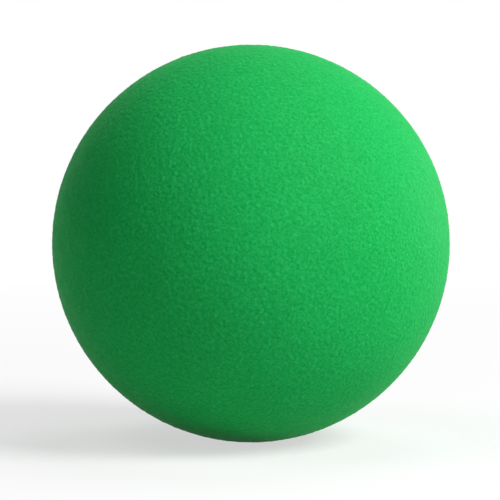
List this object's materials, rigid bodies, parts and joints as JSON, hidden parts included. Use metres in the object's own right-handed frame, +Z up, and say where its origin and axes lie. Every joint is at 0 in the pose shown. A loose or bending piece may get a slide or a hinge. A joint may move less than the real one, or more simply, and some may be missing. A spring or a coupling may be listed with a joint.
{
  "type": "foam ball",
  "caption": "Soft coated foam play ball: a round open-cell foam core inside a green, matt, finely pebbled skin with a small air vent",
  "frame": {"origin": "the centre of the ball", "axes": "+Z up as the ball lies, +Y out through the air vent and away from the viewer, +X to the viewer's right"},
  "size_m": [0.07, 0.07, 0.07],
  "materials": {
    "core_foam": "open-cell foam",
    "skin_green": "matt, finely pebbled"
  },
  "bodies": {
    "root": {"foam_core": "core_foam", "skin": "skin_green"}
  },
  "joints": []
}
